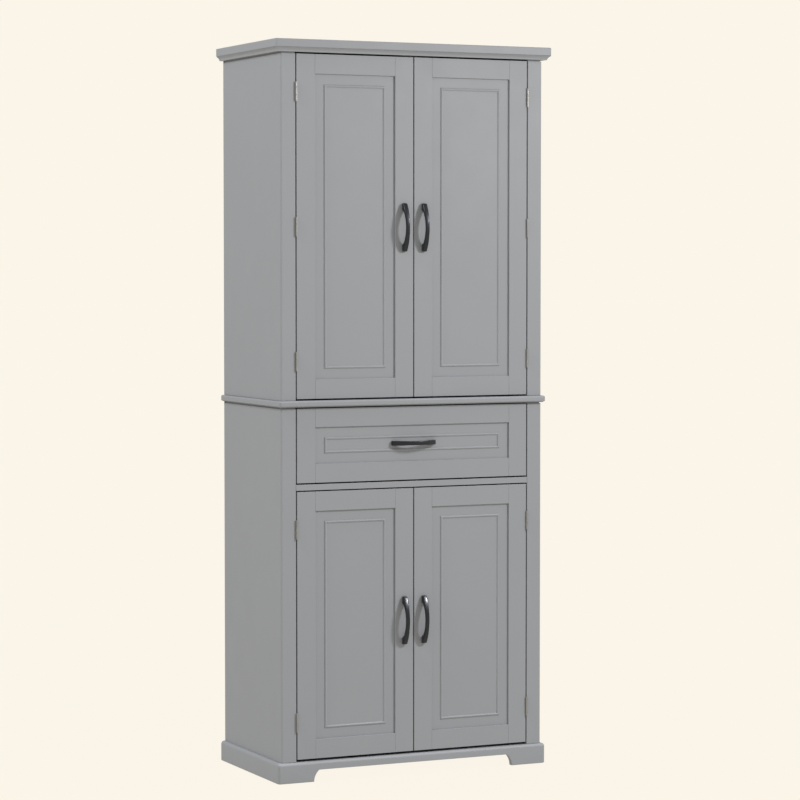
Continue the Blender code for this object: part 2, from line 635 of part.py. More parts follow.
clear_scene()
parts = new_collection("pantry_cabinet")
tools = new_collection("cutters")
make_top_panel()
make_crown_moulding()
make_sides()
make_waist_board()
make_plinth()
make_inner_boards()
shared_handle = handle_mesh()
shared_leaves = hinge_meshes()
upper_hinges = hinge_levels(UPPER_DOOR_Z, ("top", "middle", "bottom"))
lower_hinges = hinge_levels(LOWER_DOOR_Z, ("top", "bottom"))
make_doors("upper", UPPER_DOOR_Z, upper_hinges, shared_handle, shared_leaves)
make_doors("lower", LOWER_DOOR_Z, lower_hinges, shared_handle, shared_leaves)
make_runners(make_drawer(shared_handle))
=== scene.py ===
"""The looks of a tall grey pantry cabinet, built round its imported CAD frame.

Metres, +Z up, in the frame's own coordinates: the front faces -Y, and the floor is z = 0.
"""

import math

import bmesh
import bpy
from mathutils import Matrix, Vector


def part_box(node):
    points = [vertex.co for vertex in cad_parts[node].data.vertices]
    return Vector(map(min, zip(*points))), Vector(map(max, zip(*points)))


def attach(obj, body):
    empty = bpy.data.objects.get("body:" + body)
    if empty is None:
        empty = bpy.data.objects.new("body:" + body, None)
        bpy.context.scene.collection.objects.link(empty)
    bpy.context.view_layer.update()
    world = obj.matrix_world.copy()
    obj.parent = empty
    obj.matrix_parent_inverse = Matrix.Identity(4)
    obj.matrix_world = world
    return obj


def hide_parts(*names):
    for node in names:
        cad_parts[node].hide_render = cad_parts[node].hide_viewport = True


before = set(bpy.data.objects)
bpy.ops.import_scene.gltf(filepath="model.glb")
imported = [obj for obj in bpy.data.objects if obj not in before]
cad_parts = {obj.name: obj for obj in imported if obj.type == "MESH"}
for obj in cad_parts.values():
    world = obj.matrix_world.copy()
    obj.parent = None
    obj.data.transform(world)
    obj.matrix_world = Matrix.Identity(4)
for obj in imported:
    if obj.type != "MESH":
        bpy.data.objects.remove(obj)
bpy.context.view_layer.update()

MM = 0.001
X, Y, Z = Vector((1, 0, 0)), Vector((0, 1, 0)), Vector((0, 0, 1))
SIDES = {"left": -1, "right": 1}
HINGES = {"upper": ("top", "middle", "bottom"), "lower": ("top", "bottom")}

# A gap too small to see, left where pieces meet
FIT = 0.3 * MM

# Planes that the frame fixes
PANEL_SINK = 4.5 * MM
FACE_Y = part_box("upper_door_left_frame")[0].y
DOOR_BACK_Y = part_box("upper_door_left_frame")[1].y
BACK_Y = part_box("upper_side_left")[1].y
PANEL_FACE_Y = FACE_Y + PANEL_SINK
PANEL_BACK_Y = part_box("upper_door_left_panel")[1].y
INNER_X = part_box("upper_shelf_low")[1].x + FIT
CARCASS_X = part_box("upper_side_right")[1].x

# Framed fronts
TONGUE = 8 * MM
BOARD_ROUNDING = 0.7 * MM
PANEL_SMOOTH_ANGLE = 22
BEAD_INSET = 25 * MM
BEAD_WIDTH = 7 * MM
BEAD_HEIGHT = 2.6 * MM
BEAD_FULLNESS = 1.35
BEAD_STEPS = 16

# Mouldings; the waist board's underside rises by NOSE_LIFT over the last NOSE_LIFT_RUN of its edge
TOP_RADIUS = 2.5 * MM
TOP_UNDER_RADIUS = 1 * MM
TOP_CORNER_RADIUS = 5 * MM
COVE_LIP = 0.6 * MM
COVE_SPREAD = 7.7 * MM
COVE_START_ANGLE = 15
COVE_STEPS = 16
NOSE_RADIUS = 4.5 * MM
NOSE_UNDER_RADIUS = 2 * MM
NOSE_CORNER_RADIUS = 8 * MM
NOSE_LIFT = 2.2 * MM
NOSE_LIFT_RUN = 7 * MM
PLINTH_RADIUS = 8 * MM
PLINTH_CORNER_RADIUS = 8.5 * MM
PLINTH_FOOT_RADIUS = 2 * MM
ARCH_HALF_WIDTH = 276 * MM
ARCH_HEIGHT = 29.5 * MM
ARCH_FOOT_WIDTH = 14 * MM
ARCH_STEPS = 20
CORNER_STEPS = 8
CURVE_STEPS = 10
SLAB_SOFTENING = 0.6 * MM
COVE_SOFTENING = 0.4 * MM
PLINTH_SOFTENING = 0.7 * MM

# Bow handles: the spans are where the bow's outer and inner faces would meet the door
HANDLE_THICK = 6.4 * MM
HANDLE_WIDE = 10.4 * MM
HANDLE_FOOT_WIDE = 11.6 * MM
HANDLE_OUTER_SPAN = 146 * MM
HANDLE_INNER_SPAN = 104 * MM
HANDLE_FOOT_LENGTH = 16.5 * MM
HANDLE_FOOT_SLOPE = 5 * MM
HANDLE_END_RADIUS = 2.5 * MM
HANDLE_EDGE_RADIUS = 2.4 * MM
HANDLE_EDGE_STEPS = 6
HANDLE_SWELL_START = 1 / 3
HANDLE_END_TAPER = 0.6
HANDLE_SMOOTH_ANGLE = 60
HANDLE_STEPS = 96
HANDLE_SCREW_INSET = 8 * MM
HANDLE_SCREW = {"radius": 4.5 * MM, "height": 1.8 * MM}

# Butt hinges, with sizes counted from the pin
KNUCKLE_RADIUS = 2.5 * MM
LEAF_NEAR = 0.25 * MM
LEAF_FAR = 1.25 * MM
LEAF_START = 3.3 * MM
LEAF_CORNER = 2.5 * MM
LEAF_CORNER_STEPS = 6
LEAF_SOFTENING = 0.22 * MM
LEAF_SCREW_INSET = 8 * MM
LEAF_SCREW_SHARE = 0.6
LEAF_SCREW = {"radius": 2.6 * MM, "height": 0.2 * MM}
KNUCKLE_STEPS = 40
PIN_FORWARD = 2.7 * MM
PIN_BESIDE_FRONT = 1.5 * MM
PIN_TIP_RADIUS = 1.5 * MM
PIN_TIP_INSET = 0.4 * MM
PIN_TIP_BASE = 0.1 * MM
PIN_TIP_DOME = 0.25 * MM

# Camera at the front left, its place measured from the cabinet's middle line at the door faces
CAMERA_PLACE = Vector((-3.0517, -6.4646, 1.2844))
CAMERA_AIM = Vector((0.42204, 0.90532, -0.04766))
CAMERA_LENS = 128.33
SENSOR_WIDTH = 36

# Studio: a pale surround, a key light in front on the right and a fill light on the left
BACKGROUND = (0.965, 0.913, 0.815)
FLOOR_TONE = (0.05, 0.048, 0.043)
# What the floor's glow gives the cabinet, as a share of the glow that the viewer sees
FLOOR_GLOW = 0.64
FLOOR_REACH = 80
WORLD_TONE = (1.0, 0.99, 0.97)
WORLD_STRENGTH = 0.47
KEY_PLACE = (1.38, -1.7, 2.08)
KEY_RADIUS = 0.17
KEY_POWER = 20.3
FILL_PLACE = (-1.75, -0.2, 2.6)
FILL_RADIUS = 0.35
FILL_POWER = 18.2


# ---------------------------------------------------------------- mesh tools

SMOOTH_ANGLE = 35
TURNED_SIDES = 32

# How edges are softened: the segments, and the least angle in degrees between softened faces
SQUARE = (3, 30)
PRESSED = (2, 40)
MOULDED = (2, 50)

# A screw head from its edge inwards, as (share of its radius, share of its height), then its cross
SCREW_DOME = ((1, -0.1), (1, 0.25), (0.9, 0.62), (0.78, 0.86), (0.66, 1))
SCREW_CROSS_ARM = 0.55
SCREW_CROSS_HALF_WIDTH = 0.14
SCREW_CROSS_DEPTH = 0.9
SCREW_SIDES = 40


def mesh_of(name, bm, smooth_angle=SMOOTH_ANGLE):
    """Finish a bmesh as a mesh with outward faces, shaded smooth below an angle in degrees."""
    bmesh.ops.recalc_face_normals(bm, faces=bm.faces)
    mesh = bpy.data.meshes.new(name)
    bm.to_mesh(mesh)
    bm.free()
    mesh.shade_smooth()
    mesh.set_sharp_from_angle(angle=math.radians(smooth_angle))
    return mesh


def piece(name, bm, material, body, replaces=(), smooth_angle=SMOOTH_ANGLE):
    """A visible piece of the cabinet that rides on a CAD body and may stand in for its nodes."""
    mesh = mesh_of(name, bm, smooth_angle)
    mesh.materials.append(material)
    obj = bpy.data.objects.new(name, mesh)
    bpy.context.scene.collection.objects.link(obj)
    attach(obj, body)
    if replaces:
        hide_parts(*replaces)
    return obj


def soften(obj, width, way=SQUARE):
    """Small rounded edges, in one of the ways named above."""
    segments, angle = way
    bevel = obj.modifiers.new("Soft edges", "BEVEL")
    bevel.width = width
    bevel.segments = segments
    bevel.limit_method = "ANGLE"
    bevel.angle_limit = math.radians(angle)
    bevel.harden_normals = True


def add_cuboid(bm, low, high):
    """Add a box between two corners."""
    low, high = Vector(low), Vector(high)
    made = bmesh.ops.create_cube(bm, size=1)["verts"]
    bmesh.ops.scale(bm, vec=high - low, verts=made)
    bmesh.ops.translate(bm, vec=(low + high) / 2, verts=made)
    return bm


def loft(bm, rings):
    """A solid skinned over rings of equally many points, with its two ends capped."""
    loops = [[bm.verts.new(point) for point in ring] for ring in rings]
    for before, after in zip(loops, loops[1:]):
        for i in range(len(before)):
            j = (i + 1) % len(before)
            bm.faces.new((before[i], before[j], after[j], after[i]))
    bm.faces.new(reversed(loops[0]))
    bm.faces.new(loops[-1])
    return bm


def prism(bm, outline, low, high, to_point):
    """A flat (u, v) outline carried along w; to_point makes a point of (u, v, w)."""
    return loft(bm, [[to_point(u, v, w) for u, v in outline] for w in (low, high)])


def arc(centre, radii, start, end, steps=CURVE_STEPS):
    """Points along an elliptical arc in a plane, with its angles in degrees."""
    angles = [math.radians(start + (end - start) * i / steps) for i in range(steps + 1)]
    (u, v), (u_radius, v_radius) = centre, radii
    return [(u + u_radius * math.cos(a), v + v_radius * math.sin(a)) for a in angles]


def full_turn(sides):
    """The angles of a circle's points."""
    return [2 * math.pi * i / sides for i in range(sides)]


def on_circle(angle, radius, height):
    return Vector((radius * math.cos(angle), radius * math.sin(angle), height))


def facing(place, direction):
    """A matrix that stands a shape drawn up +Z at a place, pointing in a direction."""
    turn = Vector(direction).to_track_quat("Z", "Y")
    return Matrix.Translation(place) @ turn.to_matrix().to_4x4()


def trim(bm, place, direction):
    """Cut off what lies beyond a plane, and close the cut."""
    everything = [*bm.verts, *bm.edges, *bm.faces]
    bmesh.ops.bisect_plane(bm, geom=everything, plane_co=place, plane_no=direction,
                           clear_outer=True)
    bmesh.ops.holes_fill(bm, edges=[edge for edge in bm.edges if edge.is_boundary])


def turned(bm, profile, matrix, sides=TURNED_SIDES):
    """A solid of revolution from (radius, height) points, with flat ends."""
    angles = full_turn(sides)
    return loft(bm, [[matrix @ on_circle(a, radius, height) for a in angles]
                     for radius, height in profile])


def cross_radius(angle, arm, half_width):
    """Distance from the middle of a cross to its outline, in the direction of an angle."""
    across, along = abs(math.cos(angle)), abs(math.sin(angle))
    tiny = 1e-6
    first = min(arm / max(across, tiny), half_width / max(along, tiny))
    second = min(arm / max(along, tiny), half_width / max(across, tiny))
    return max(first, second)


def screw(bm, place, direction, radius, height):
    """A domed screw head with a cross recess, standing on a surface."""
    matrix = facing(place, direction)
    angles = full_turn(SCREW_SIDES)
    arm, half_width = radius * SCREW_CROSS_ARM, radius * SCREW_CROSS_HALF_WIDTH
    cross = [cross_radius(a, arm, half_width) for a in angles]
    rings = [([radius * share] * SCREW_SIDES, height * level) for share, level in SCREW_DOME]
    rings += [(cross, height), (cross, height * (1 - SCREW_CROSS_DEPTH))]
    return loft(bm, [[matrix @ on_circle(a, r, level) for a, r in zip(angles, radii)]
                     for radii, level in rings])


# ---------------------------------------------------------------- materials

class Nodes:
    """A material's node tree, with short calls for the nodes that the finishes share."""

    def __init__(self, name):
        self.material = bpy.data.materials.new(name)
        self.material.use_nodes = True
        self.tree = self.material.node_tree
        self.shader = self.tree.nodes["Principled BSDF"]
        self.place = self.add("ShaderNodeTexCoord").outputs["Object"]

    def add(self, kind, **inputs):
        """A new node, its inputs named with _ for spaces."""
        node = self.tree.nodes.new(kind)
        for key, value in inputs.items():
            self.set(node, key.replace("_", " "), value)
        return node

    def set(self, node, key, value):
        """Link a socket to an input, or give the input a value."""
        if isinstance(value, bpy.types.NodeSocket):
            self.tree.links.new(value, node.inputs[key])
        else:
            node.inputs[key].default_value = value

    def noise(self, scale, detail=3, roughness=0.5, stretch=(1, 1, 1)):
        """A noise value about 0.5, with its scale per metre and its stretch along X, Y and Z."""
        mapping = self.add("ShaderNodeMapping", Vector=self.place, Scale=stretch)
        noise = self.add("ShaderNodeTexNoise", Vector=mapping.outputs["Vector"], Scale=scale,
                         Detail=detail, Roughness=roughness)
        return noise.outputs["Fac"]

    def remap(self, value, low, high, spread=0.25):
        """A noise value carried to the range low to high."""
        node = self.add("ShaderNodeMapRange", Value=value, From_Min=0.5 - spread,
                        From_Max=0.5 + spread, To_Min=low, To_Max=high)
        return node.outputs["Result"]

    def blend(self, value, first, second):
        """A colour between two others."""
        node = self.tree.nodes.new("ShaderNodeMix")
        node.data_type = "RGBA"
        self.set(node, "Factor", value)
        colours = [socket for socket in node.inputs if socket.type == "RGBA"]
        for socket, colour in zip(colours, (first, second)):
            if isinstance(colour, bpy.types.NodeSocket):
                self.tree.links.new(colour, socket)
            else:
                socket.default_value = (*colour, 1)
        return [socket for socket in node.outputs if socket.type == "RGBA"][0]

    def bump(self, value, strength, distance, before=None):
        """A normal bumped by a value, on top of any normal before it."""
        node = self.add("ShaderNodeBump", Height=value, Strength=strength, Distance=distance)
        if before:
            self.tree.links.new(before, node.inputs["Normal"])
        return node.outputs["Normal"]

    def finish(self, colour, roughness, normal=None, **constants):
        """Fill the shader's inputs, and give back the material."""
        self.set(self.shader, "Base Color", colour)
        self.set(self.shader, "Roughness", roughness)
        if normal:
            self.set(self.shader, "Normal", normal)
        for key, value in constants.items():
            self.set(self.shader, key.replace("_", " "), value)
        return self.material


def scaled(colour, factor):
    return tuple(channel * factor for channel in colour)


def paint_material(name, colour, roughness):
    """Sprayed satin paint on board: faint mottling, orange-peel texture and a few dull patches."""
    nodes = Nodes(name)
    mottle = nodes.remap(nodes.noise(5, detail=4), 0, 1)
    speck = nodes.remap(nodes.noise(260, detail=2), 0, 1, spread=0.3)
    dark, light = scaled(colour, 0.98), scaled(colour, 1.02)
    broad = nodes.blend(mottle, dark, light)
    fine = nodes.blend(speck, dark, light)
    tone = nodes.blend(0.4, broad, fine)
    sheen = nodes.remap(nodes.noise(14), roughness - 0.05, roughness + 0.06)
    peel = nodes.bump(nodes.noise(420, detail=2), 0.10, 0.3 * MM)
    ripple = nodes.bump(nodes.noise(60, detail=2), 0.06, 0.6 * MM, before=peel)
    return nodes.finish(tone, sheen, ripple)


def hardboard_material(name, colour):
    """Thin painted hardboard, with the short fibres of the board showing through."""
    nodes = Nodes(name)
    fibres = nodes.noise(240, detail=5, roughness=0.7, stretch=(1, 1, 0.35))
    tone = nodes.blend(nodes.remap(fibres, 0, 1), scaled(colour, 0.90), scaled(colour, 1.08))
    sheen = nodes.remap(nodes.noise(30), 0.55, 0.7)
    return nodes.finish(tone, sheen, nodes.bump(fibres, 0.25, 0.4 * MM))


def laminate_material(name, colour):
    """Pale wood-grain laminate on the drawer's boards, its grain running front to back."""
    nodes = Nodes(name)
    grain = nodes.noise(90, detail=6, roughness=0.6, stretch=(1, 0.05, 1))
    pores = nodes.noise(600, detail=2, stretch=(1, 0.06, 1))
    tone = nodes.blend(nodes.remap(grain, 0, 1), scaled(colour, 0.84), scaled(colour, 1.06))
    sheen = nodes.remap(grain, 0.42, 0.55)
    return nodes.finish(tone, sheen, nodes.bump(pores, 0.15, 0.2 * MM))


def metal_material(name, colour, roughness, brushed=(1, 1, 1), metallic=1, wear=0.12):
    """Metal with fine brushing, given by its stretch along each axis, and small tone changes."""
    nodes = Nodes(name)
    lines = nodes.noise(900, stretch=brushed)
    patches = nodes.remap(nodes.noise(45), 0, 1)
    tone = nodes.blend(patches, scaled(colour, 1 - wear), scaled(colour, 1 + wear))
    shine = nodes.remap(lines, roughness - 0.06, roughness + 0.08)
    return nodes.finish(tone, shine, nodes.bump(lines, 0.12, 0.08 * MM), Metallic=metallic)


def black_bronze_material(name):
    """Near-black lacquered metal, a little lighter in worn patches, with a satin shine."""
    nodes = Nodes(name)
    patches = nodes.remap(nodes.noise(70, detail=4), 0, 1, spread=0.2)
    tone = nodes.blend(patches, (0.0045, 0.005, 0.0065), (0.010, 0.011, 0.013))
    shine = nodes.remap(nodes.noise(160), 0.30, 0.38)
    normal = nodes.bump(nodes.noise(1400, detail=2), 0.04, 0.03 * MM)
    return nodes.finish(tone, shine, normal, Specular_IOR_Level=0.42,
                        Specular_Tint=(0.80, 0.88, 1, 1), Coat_Weight=0.45, Coat_Roughness=0.17)


def plastic_material(name, colour, roughness):
    """Moulded plastic with a fine eroded texture."""
    nodes = Nodes(name)
    grain = nodes.noise(1500, detail=2)
    patches = nodes.remap(nodes.noise(60), 0, 1)
    tone = nodes.blend(patches, scaled(colour, 0.94), scaled(colour, 1.05))
    shine = nodes.remap(grain, roughness - 0.05, roughness + 0.05)
    return nodes.finish(tone, shine, nodes.bump(grain, 0.2, 0.05 * MM))


GREY = (0.347, 0.362, 0.387)
NICKEL = (0.44, 0.43, 0.41)
STEEL = (0.55, 0.55, 0.55)
RUNNER_GREY = (0.62, 0.63, 0.65)
BRUSHED_UP = (1, 1, 0.08)
BRUSHED_ALONG = (1, 0.08, 1)
paint = paint_material("Grey satin paint", GREY, 0.55)
inner_paint = paint_material("Grey paint inside", GREY, 0.6)
hardboard = hardboard_material("Grey hardboard", scaled(GREY, 1.05))
laminate = laminate_material("Pale laminate", (0.56, 0.50, 0.42))
black_bronze = black_bronze_material("Black bronze")
nickel = metal_material("Satin nickel", NICKEL, 0.42, BRUSHED_UP, metallic=0.85)
runner_steel = metal_material("Painted runner steel", RUNNER_GREY, 0.40, BRUSHED_ALONG,
                              metallic=0.6, wear=0.06)
screw_steel = metal_material("Screw steel", STEEL, 0.30)
nylon = plastic_material("White nylon", (0.72, 0.71, 0.68), 0.45)
catch_plastic = plastic_material("Grey plastic", (0.30, 0.30, 0.31), 0.5)


# ---------------------------------------------------------------- boards kept from the frame

WELD_DISTANCE = 0.01 * MM
FLAT_ANGLE = 0.5


def shading_group(name, smooth):
    """Geometry nodes that shade a whole mesh smooth or flat, without the normals it came with."""
    group = bpy.data.node_groups.new(name, "GeometryNodeTree")
    group.interface.new_socket("Geometry", in_out="INPUT", socket_type="NodeSocketGeometry")
    group.interface.new_socket("Geometry", in_out="OUTPUT", socket_type="NodeSocketGeometry")
    start = group.nodes.new("NodeGroupInput")
    end = group.nodes.new("NodeGroupOutput")
    normal = group.nodes.new("GeometryNodeSetMeshNormal")
    normal.mode = "SHARPNESS"
    normal.inputs["Face Sharpness"].default_value = not smooth
    group.links.new(start.outputs["Geometry"], normal.inputs["Mesh"])
    group.links.new(normal.outputs["Mesh"], end.inputs["Geometry"])
    return group


smooth_shading = shading_group("Smooth shading", True)
flat_shading = shading_group("Flat shading", False)


def shade_board(obj, group):
    shading = obj.modifiers.new(group.name, "NODES")
    shading.node_group = group


def finish_board(node, material, rounding=0.8 * MM, cutter=None):
    """Give a CAD board its material, soft edges and any drilled holes, all by modifiers."""
    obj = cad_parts[node]
    obj.data.materials.clear()
    obj.data.materials.append(material)
    weld = obj.modifiers.new("Weld", "WELD")
    weld.merge_threshold = WELD_DISTANCE
    flat = obj.modifiers.new("Flat faces", "DECIMATE")
    flat.decimate_type = "DISSOLVE"
    flat.angle_limit = math.radians(FLAT_ANGLE)
    shade_board(obj, smooth_shading)
    soften(obj, rounding, MOULDED)
    if cutter:
        drill(obj, cutter)
        shade_board(obj, flat_shading)


def drill(obj, cutter):
    """Take a hidden body away from an object."""
    holes = obj.modifiers.new("Holes", "BOOLEAN")
    holes.operation = "DIFFERENCE"
    holes.solver = "EXACT"
    holes.object = cutter


def hidden_cutter(name, bm):
    """A body that only cuts others."""
    cutter = bpy.data.objects.new(name, mesh_of(name, bm))
    bpy.context.scene.collection.objects.link(cutter)
    cutter.hide_render = True
    cutter.display_type = "WIRE"
    return cutter


# Shelf pins stand in two rows of holes on each side; holes are left free above and below each pin
HOLE_PITCH = 32 * MM
FREE_HOLES = (-2, -1, 1, 2)
HOLE_RADIUS = 2.5 * MM
HOLE_DEPTH = 10 * MM
PIN_EDGE = 37 * MM
PIN_SIDES = 24

# A shelf pin's collar and peg, as (radius, distance from the side) points
PIN_PROFILE = ((HOLE_RADIUS * 1.7, 0), (HOLE_RADIUS * 1.7, 0.6 * MM), (HOLE_RADIUS, 0.9 * MM),
               (HOLE_RADIUS, 7.4 * MM), (HOLE_RADIUS * 0.75, 8 * MM))
SHELVES = {"upper": ("upper_shelf_high", "upper_shelf_low"), "lower": ("lower_shelf",)}


def pin_rows(shelf):
    """The y places of a shelf's pins and the height of their middles."""
    low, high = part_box(shelf)
    return (low.y + PIN_EDGE, high.y - PIN_EDGE), low.z - HOLE_RADIUS


def shelf_holes(unit, word, side):
    """The free holes of one side, as a body that cuts them."""
    drilled = [(HOLE_RADIUS, 0), (HOLE_RADIUS, HOLE_DEPTH)]
    bm = bmesh.new()
    for shelf in SHELVES[unit]:
        rows, height = pin_rows(shelf)
        for y in rows:
            for step in FREE_HOLES:
                place = Vector((side * (INNER_X - FIT), y, height + step * HOLE_PITCH))
                turned(bm, drilled, facing(place, X * side), PIN_SIDES)
    return hidden_cutter(f"holes_{unit}_{word}", bm)


def make_shelf_pins():
    """Four pins under each shelf, their pegs cut flat where the shelf lies on them."""
    for unit, shelves in SHELVES.items():
        for shelf in shelves:
            rows, height = pin_rows(shelf)
            bm = bmesh.new()
            for side in SIDES.values():
                for y in rows:
                    matrix = facing(Vector((side * INNER_X, y, height)), -X * side)
                    turned(bm, PIN_PROFILE, matrix, PIN_SIDES)
            trim(bm, Z * (height + HOLE_RADIUS), Z)
            piece(f"{shelf}_pins", bm, nickel, "cabinet")


for unit in HINGES:
    for word, side in SIDES.items():
        finish_board(f"{unit}_side_{word}", paint, cutter=shelf_holes(unit, word, side))
for name in ("drawer_divider", "bottom_board", *SHELVES["upper"], *SHELVES["lower"]):
    finish_board(name, inner_paint)
for name in ("upper_back_panel", "lower_back_panel"):
    finish_board(name, hardboard, 0.3 * MM)
for name in ("drawer_side_left", "drawer_side_right", "drawer_back", "drawer_bottom"):
    finish_board(name, laminate, 0.5 * MM)
for word in SIDES:
    finish_board(f"runner_cabinet_{word}", runner_steel, 0.4 * MM)
    finish_board(f"runner_drawer_{word}", runner_steel, 0.4 * MM)
make_shelf_pins()


# ---------------------------------------------------------------- top, cove, waist board and plinth

def slab_ring(low, high, inset, corner, z):
    """A level outline of a board: flush at the back, inset elsewhere, its front corners rounded."""
    radius = max(corner - inset, WELD_DISTANCE)
    centre_y = low.y + inset + radius
    left = arc((low.x + inset + radius, centre_y), (radius, radius), 180, 270, CORNER_STEPS)
    right = arc((high.x - inset - radius, centre_y), (radius, radius), 270, 360, CORNER_STEPS)
    outline = [(low.x + inset, high.y), *left, *right, (high.x - inset, high.y)]
    return [Vector((x, y, z)) for x, y in outline]


def make_slab(node, top_radius, under_radius, corner, lift=0):
    """A board with a rounded edge at its front and sides, its underside lifted at that edge."""
    low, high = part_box(node)
    under_z, top_z = low.z + lift + under_radius, high.z - top_radius
    section = [(NOSE_LIFT_RUN, low.z)] if lift else []
    section += arc((under_radius, under_z), (under_radius, under_radius), 270, 180)
    section += arc((top_radius, top_z), (top_radius, top_radius), 180, 90)
    slab = loft(bmesh.new(), [slab_ring(low, high, inset, corner, z) for inset, z in section])
    obj = piece(f"{node}_moulded", slab, paint, "cabinet", [node])
    soften(obj, SLAB_SOFTENING, MOULDED)


def make_cove():
    """The cove under the top, mitred at the front corners, its section drawn as (inset, height)."""
    name = "crown_moulding"
    low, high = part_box(name)
    front, half = low.y, high.x
    rise = high.z - low.z - COVE_LIP
    inner = half - CARCASS_X - FIT
    start = math.radians(COVE_START_ANGLE)
    width = COVE_SPREAD / (1 - math.cos(start))
    hollow = arc((COVE_SPREAD - width, low.z), (width, rise / math.sin(start)),
                 COVE_START_ANGLE, 0, COVE_STEPS)
    section = [(0, high.z), *hollow, (inner, low.z), (inner, high.z)]
    rings = []
    for side in (-1, 1):
        back = [Vector((side * (half - inset), BACK_Y, z)) for inset, z in section]
        mitre = [Vector((side * (half - inset), front + inset, z)) for inset, z in section]
        rings += [back, mitre] if side < 0 else [mitre, back]
    cove = loft(bmesh.new(), rings)
    obj = piece(f"{name}_swept", cove, paint, "cabinet", [name])
    soften(obj, COVE_SOFTENING, MOULDED)


def round_edges(bm, chosen, radius):
    """Round the edges whose middle point passes the test."""
    edges = [edge for edge in bm.edges if chosen((edge.verts[0].co + edge.verts[1].co) / 2)]
    bmesh.ops.bevel(bm, geom=edges, offset=radius, segments=CURVE_STEPS, profile=0.5,
                    affect="EDGES")


def arch_cutter(low, high):
    """The body of the toe gap: a flat top that curves down to the feet."""
    sweep = 2 * math.atan(ARCH_FOOT_WIDTH / ARCH_HEIGHT)
    radius = ARCH_HEIGHT / math.sin(sweep)
    foot = arc((ARCH_HALF_WIDTH - radius, 0), (radius, radius), 0, math.degrees(sweep), ARCH_STEPS)
    outline = [(ARCH_HALF_WIDTH, -high.z), *foot]
    outline += [(-x, z) for x, z in reversed(outline)]
    depth = high.y - low.y
    bm = prism(bmesh.new(), outline, low.y - depth, high.y + depth,
               lambda u, v, w: Vector((u, w, v)))
    return hidden_cutter("arch_cutter", bm)


def make_plinth_front():
    """The plinth's front board, rounded at its corners, top and foot, with the arched toe gap."""
    name = "plinth_front"
    low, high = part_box(name)
    bm = add_cuboid(bmesh.new(), low, high)
    before_back, under_top = high.y - FIT, high.z - FIT
    round_edges(bm, lambda p: p.y < low.y + FIT and FIT < p.z < under_top, PLINTH_CORNER_RADIUS)
    round_edges(bm, lambda p: p.z > under_top and p.y < before_back, PLINTH_RADIUS)
    round_edges(bm, lambda p: p.z < FIT and p.y < before_back, PLINTH_FOOT_RADIUS)
    obj = piece(f"{name}_moulded", bm, paint, "cabinet", [name])
    drill(obj, arch_cutter(low, high))
    soften(obj, PLINTH_SOFTENING, MOULDED)


def make_plinth_side(name):
    low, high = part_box(name)
    bm = add_cuboid(bmesh.new(), low, high)
    outer, under_top = max(abs(low.x), abs(high.x)) - FIT, high.z - FIT
    round_edges(bm, lambda p: p.z > under_top and abs(p.x) > outer, PLINTH_RADIUS)
    round_edges(bm, lambda p: p.z < FIT and abs(p.x) > outer, PLINTH_FOOT_RADIUS)
    obj = piece(f"{name}_moulded", bm, paint, "cabinet", [name])
    soften(obj, PLINTH_SOFTENING, MOULDED)


make_slab("top_panel", TOP_RADIUS, TOP_UNDER_RADIUS, TOP_CORNER_RADIUS)
make_slab("waist_board", NOSE_RADIUS, NOSE_UNDER_RADIUS, NOSE_CORNER_RADIUS, NOSE_LIFT)
make_cove()
make_plinth_front()
for word in SIDES:
    make_plinth_side(f"plinth_{word}")


# ---------------------------------------------------------------- framed doors and drawer front

def grooved_section(width, groove_side):
    """A frame member's section as (across, depth) points, grooved on one side for the panel."""
    edge = width / 2 * groove_side
    inner = edge - TONGUE * groove_side
    front = PANEL_FACE_Y - FACE_Y - FIT
    back = PANEL_BACK_Y - FACE_Y + FIT
    thickness = DOOR_BACK_Y - FACE_Y
    return [(-edge, 0), (edge, 0), (edge, front), (inner, front), (inner, back),
            (edge, back), (edge, thickness), (-edge, thickness)]


def make_frame(front, body):
    """Two stiles and two rails with softened edges, so that fine V joints show where they meet."""
    node = f"{front}_frame"
    low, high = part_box(node)
    panel_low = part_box(f"{front}_panel")[0]
    stile = panel_low.x - low.x + TONGUE - FIT
    rail = panel_low.z - low.z + TONGUE - FIT
    middle = (low.x + high.x) / 2
    members = []
    for word, side in SIDES.items():
        centre = middle + side * (high.x - low.x - stile) / 2
        bm = prism(bmesh.new(), grooved_section(stile, -side), low.z, high.z,
                   lambda u, v, w: Vector((centre + u, FACE_Y + v, w)))
        members.append((f"{front}_stile_{word}", bm))
    for word, side in (("bottom", -1), ("top", 1)):
        centre = (low.z + high.z) / 2 + side * (high.z - low.z - rail) / 2
        bm = prism(bmesh.new(), grooved_section(rail, -side), low.x + stile, high.x - stile,
                   lambda u, v, w: Vector((w, FACE_Y + v, centre + u)))
        members.append((f"{front}_rail_{word}", bm))
    for name, bm in members:
        obj = piece(name, bm, paint, body, [node])
        soften(obj, BOARD_ROUNDING)


def bead_profile():
    """The panel's moulding as (inset from the frame, height above the panel) points."""
    half = BEAD_WIDTH / 2
    points = []
    for across, up in arc((0, 0), (1, 1), 180, 0, BEAD_STEPS):
        across = math.copysign(abs(across) ** BEAD_FULLNESS, across)
        up = abs(up) ** BEAD_FULLNESS
        points.append((BEAD_INSET + half + half * across, BEAD_HEIGHT * up))
    return points


